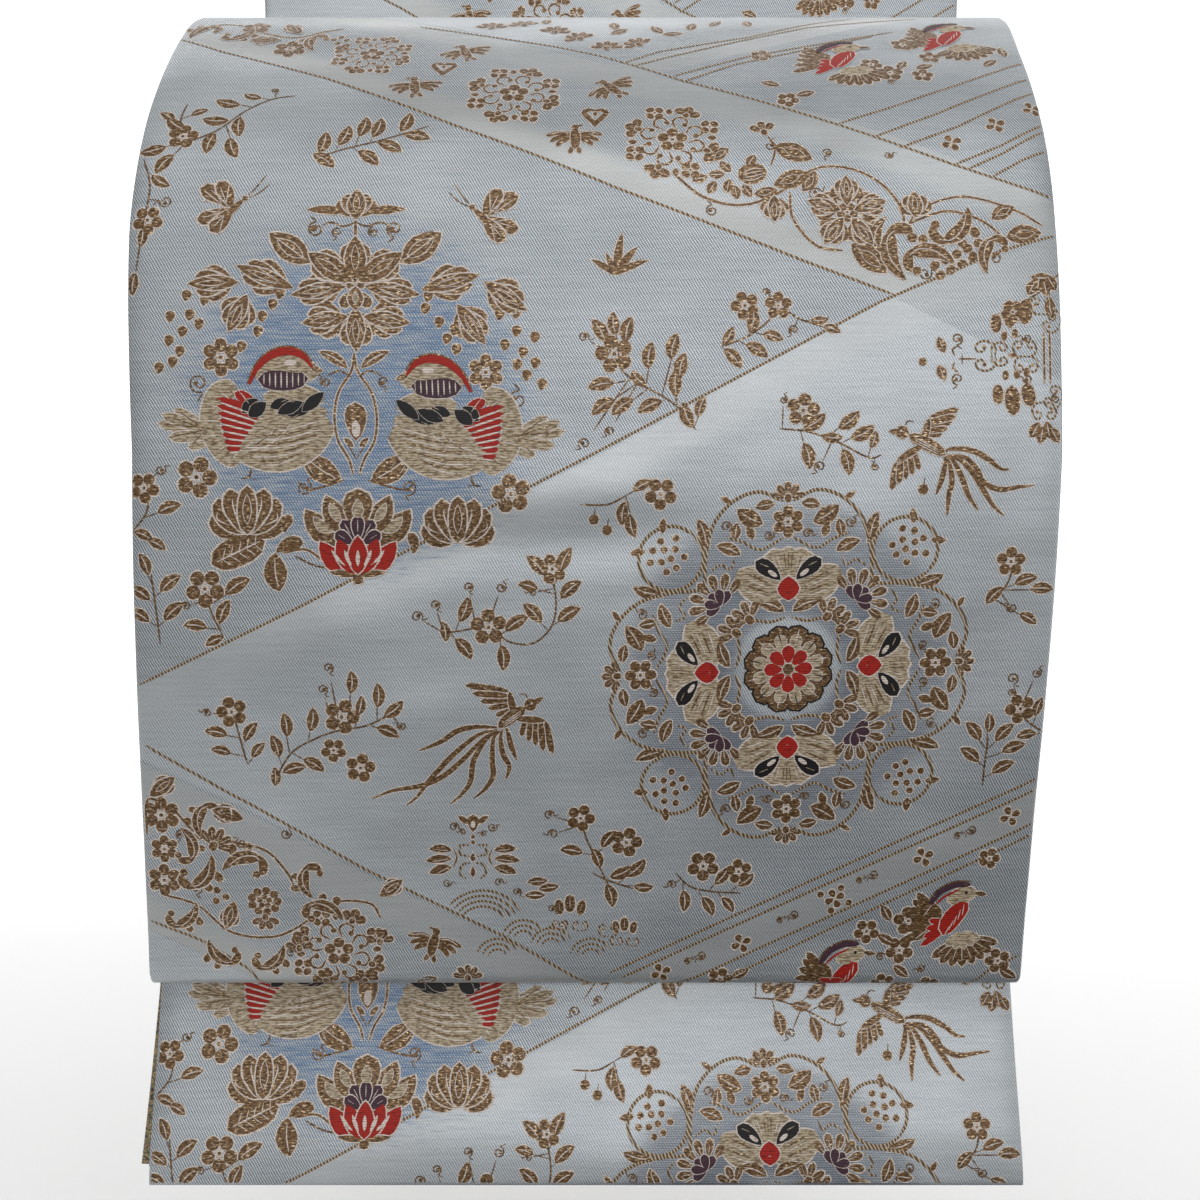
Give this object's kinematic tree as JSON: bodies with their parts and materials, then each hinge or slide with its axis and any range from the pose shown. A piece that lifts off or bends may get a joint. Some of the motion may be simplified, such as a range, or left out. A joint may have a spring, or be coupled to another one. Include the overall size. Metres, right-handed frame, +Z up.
{
  "type": "obi sash",
  "caption": "Wide brocade obi sash hung over a rail and shaped into a hollow drum knot, its tail showing below and the rest folded behind.",
  "frame": {"origin": "middle of the rail that the sash hangs over, inside the top fold", "axes": "+X along the rail, to the right seen from the front; -Y is the front, where the drum and the tail face; +Z up"},
  "size_m": [0.3229, 0.2276, 0.4933],
  "materials": {
    "brocade": "pale silver-blue silk satin with woven gold, red, purple and black figures",
    "lining": "dark silk flecked with gold, black, red and green",
    "folded_layers": "layers of the same brocade and lining, folded together"
  },
  "bodies": {
    "root": {"tail_front": "brocade", "tail_lining": "lining", "inner_front": "brocade", "inner_lining": "lining", "drum_front": "brocade", "drum_lining": "lining", "upper_front": "brocade", "upper_lining": "lining", "back_front": "brocade", "back_lining": "lining", "folded_length": "folded_layers"}
  },
  "joints": []
}
